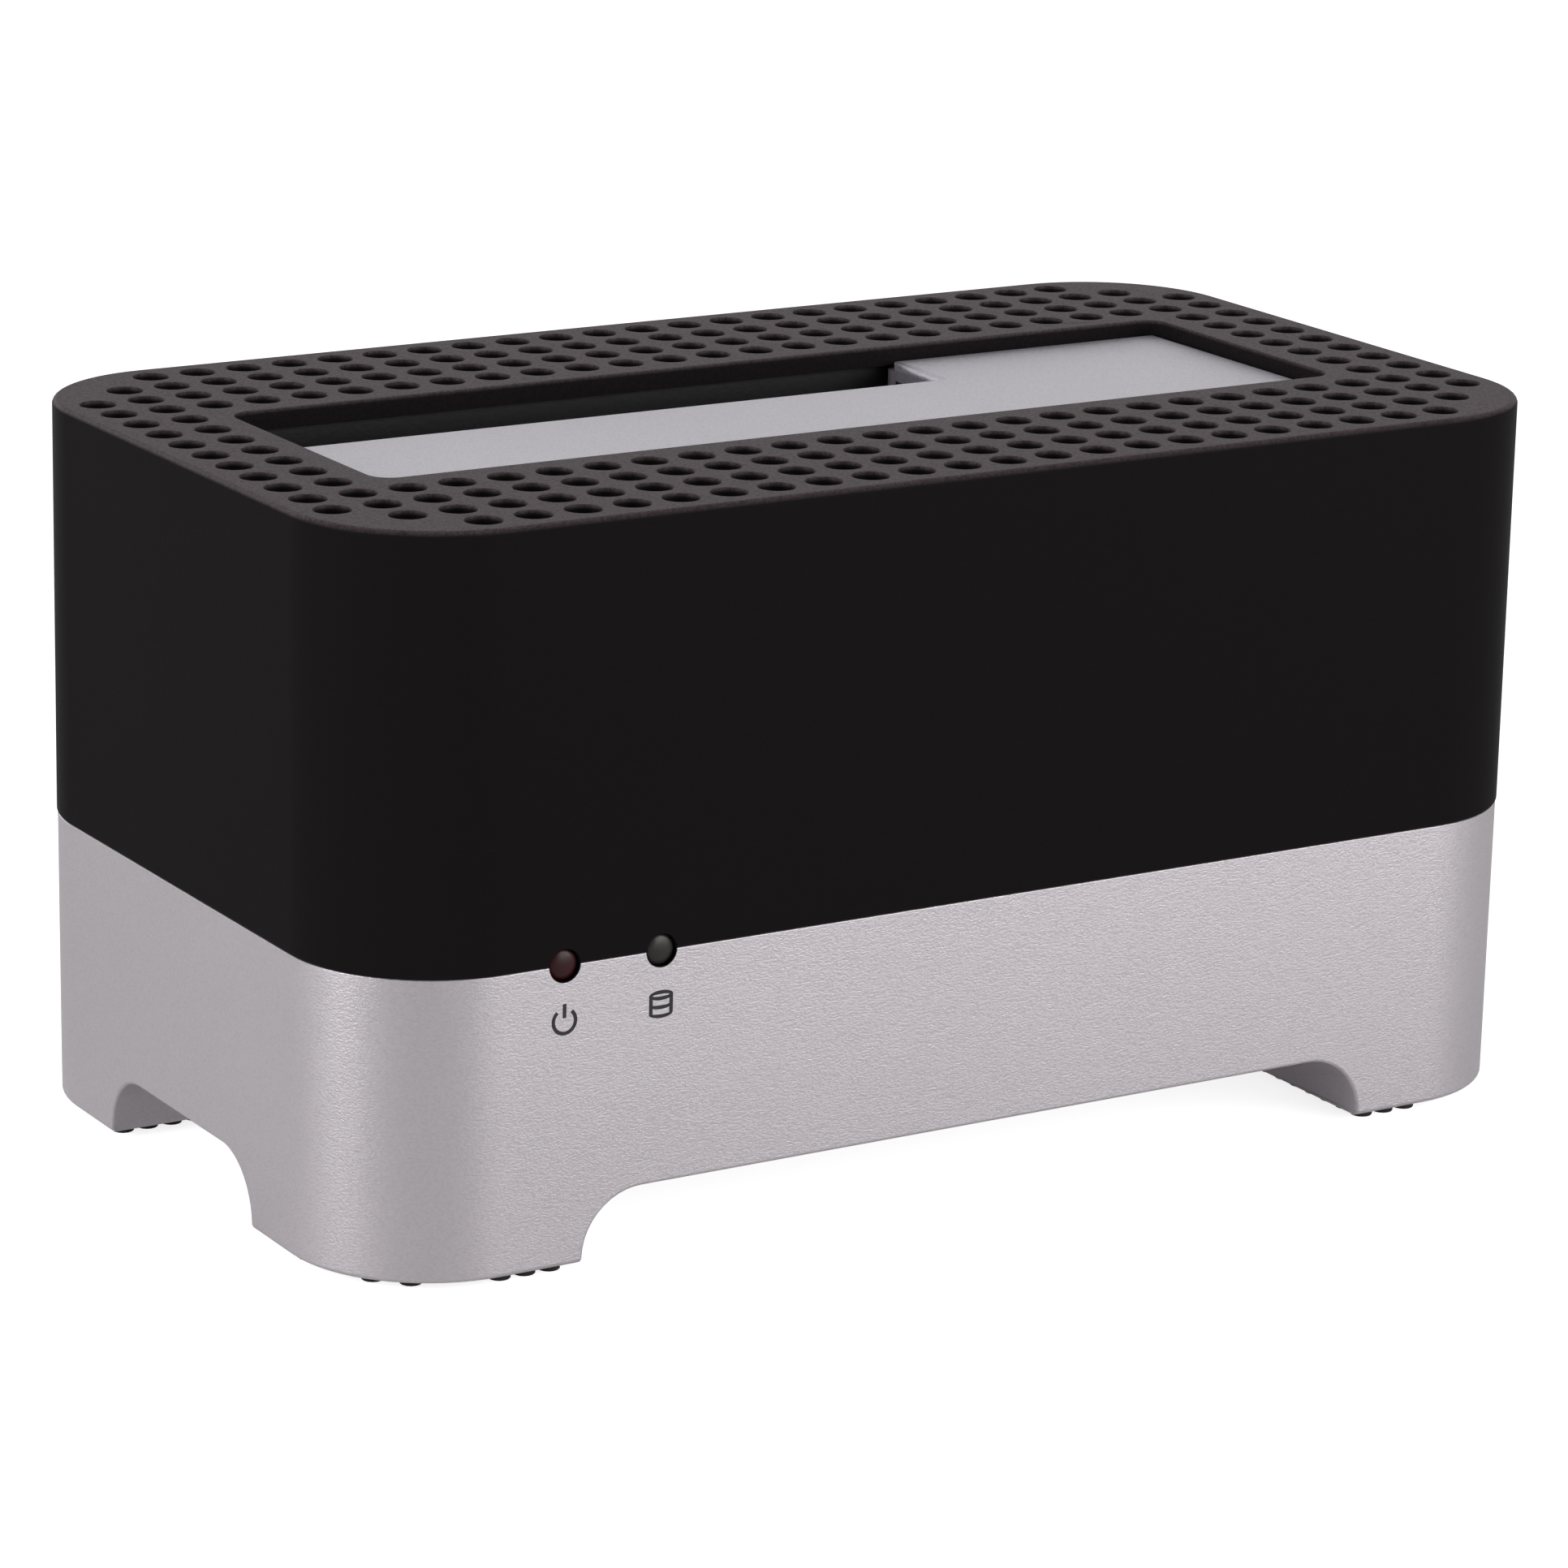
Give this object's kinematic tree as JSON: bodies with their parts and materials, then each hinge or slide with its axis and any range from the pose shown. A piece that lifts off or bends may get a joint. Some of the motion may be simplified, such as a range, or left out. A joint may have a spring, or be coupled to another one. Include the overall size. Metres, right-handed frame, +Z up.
{
  "type": "hard drive docking station",
  "caption": "Upright docking station for a bare hard drive: perforated black cover, sprung slot flap, silver base on arched legs with status lamps and rear ports.",
  "frame": {"origin": "on the table, under the middle of the body, at the ends of the rubber feet", "axes": "+X along the length to the right, +Y to the rear wall with the ports, +Z up; the lamps are on the -Y face"},
  "size_m": [0.13, 0.074, 0.0689],
  "materials": {
    "cover_black": "fine spark-eroded satin black",
    "base_silver": "silver paint over a fine moulded grain",
    "flap_silver": "silver paint, fine grain",
    "well_black": "plain moulded black",
    "pin_steel": "drawn wire",
    "spring_steel": "drawn wire",
    "foot_rubber": "moulded rubber",
    "board_green": "solder mask",
    "connector_black": "moulded black",
    "contact_gold": "gold flash",
    "port_metal": "plated sheet",
    "port_blue": "moulded blue",
    "jack_black": "moulded black",
    "button_black": "polished moulding",
    "lamp_red": "tinted clear lens, unlit",
    "lamp_clear": "clear lens, unlit",
    "lead_tin": "tinned wire",
    "chip_black": "moulded package",
    "can_metal": "drawn can",
    "core_grey": "ferrite",
    "part_brown": "ceramic",
    "screw_steel": "zinc plated"
  },
  "bodies": {
    "dock": {"top_cover": "cover_black", "flap_hinge_pin": "pin_steel", "flap_spring": "spring_steel", "drive_well": "well_black", "base_shell": "base_silver", "foot_front_left": "foot_rubber", "foot_front_right": "foot_rubber", "foot_rear_left": "foot_rubber", "foot_rear_right": "foot_rubber", "main_board": "board_green", "sata_receptacle": "connector_black", "sata_contacts": "contact_gold", "usb_port_shell": "port_metal", "usb_port_insert": "port_blue", "dc_jack_body": "jack_black", "dc_jack_pin": "pin_steel", "power_switch_body": "jack_black", "power_led": "lamp_red", "activity_led": "lamp_clear", "led_leads": "lead_tin", "bridge_chip": "chip_black", "crystal": "can_metal", "filter_capacitors": "can_metal", "power_inductors": "core_grey", "regulators": "chip_black", "small_parts": "part_brown", "base_screws": "screw_steel", "board_screws": "screw_steel"},
    "flap": {"drive_flap": "flap_silver"},
    "button": {"power_button": "button_black"}
  },
  "joints": [
    {"name": "flap_hinge", "type": "hinge", "parent": "dock", "child": "flap", "pos_m": [0, -0.013, 0.0656], "axis": [-1, 0, 0], "range_deg": [0, 90], "stiffness_Nm_per_rad": 0.01, "springref_deg": -28.65, "deforming": ["flap_spring"]},
    {"name": "button_slide", "type": "slide", "parent": "dock", "child": "button", "axis": [0, -1, 0], "range_m": [0, 0.002], "stiffness_N_per_m": 300, "springref_m": -0.003}
  ]
}
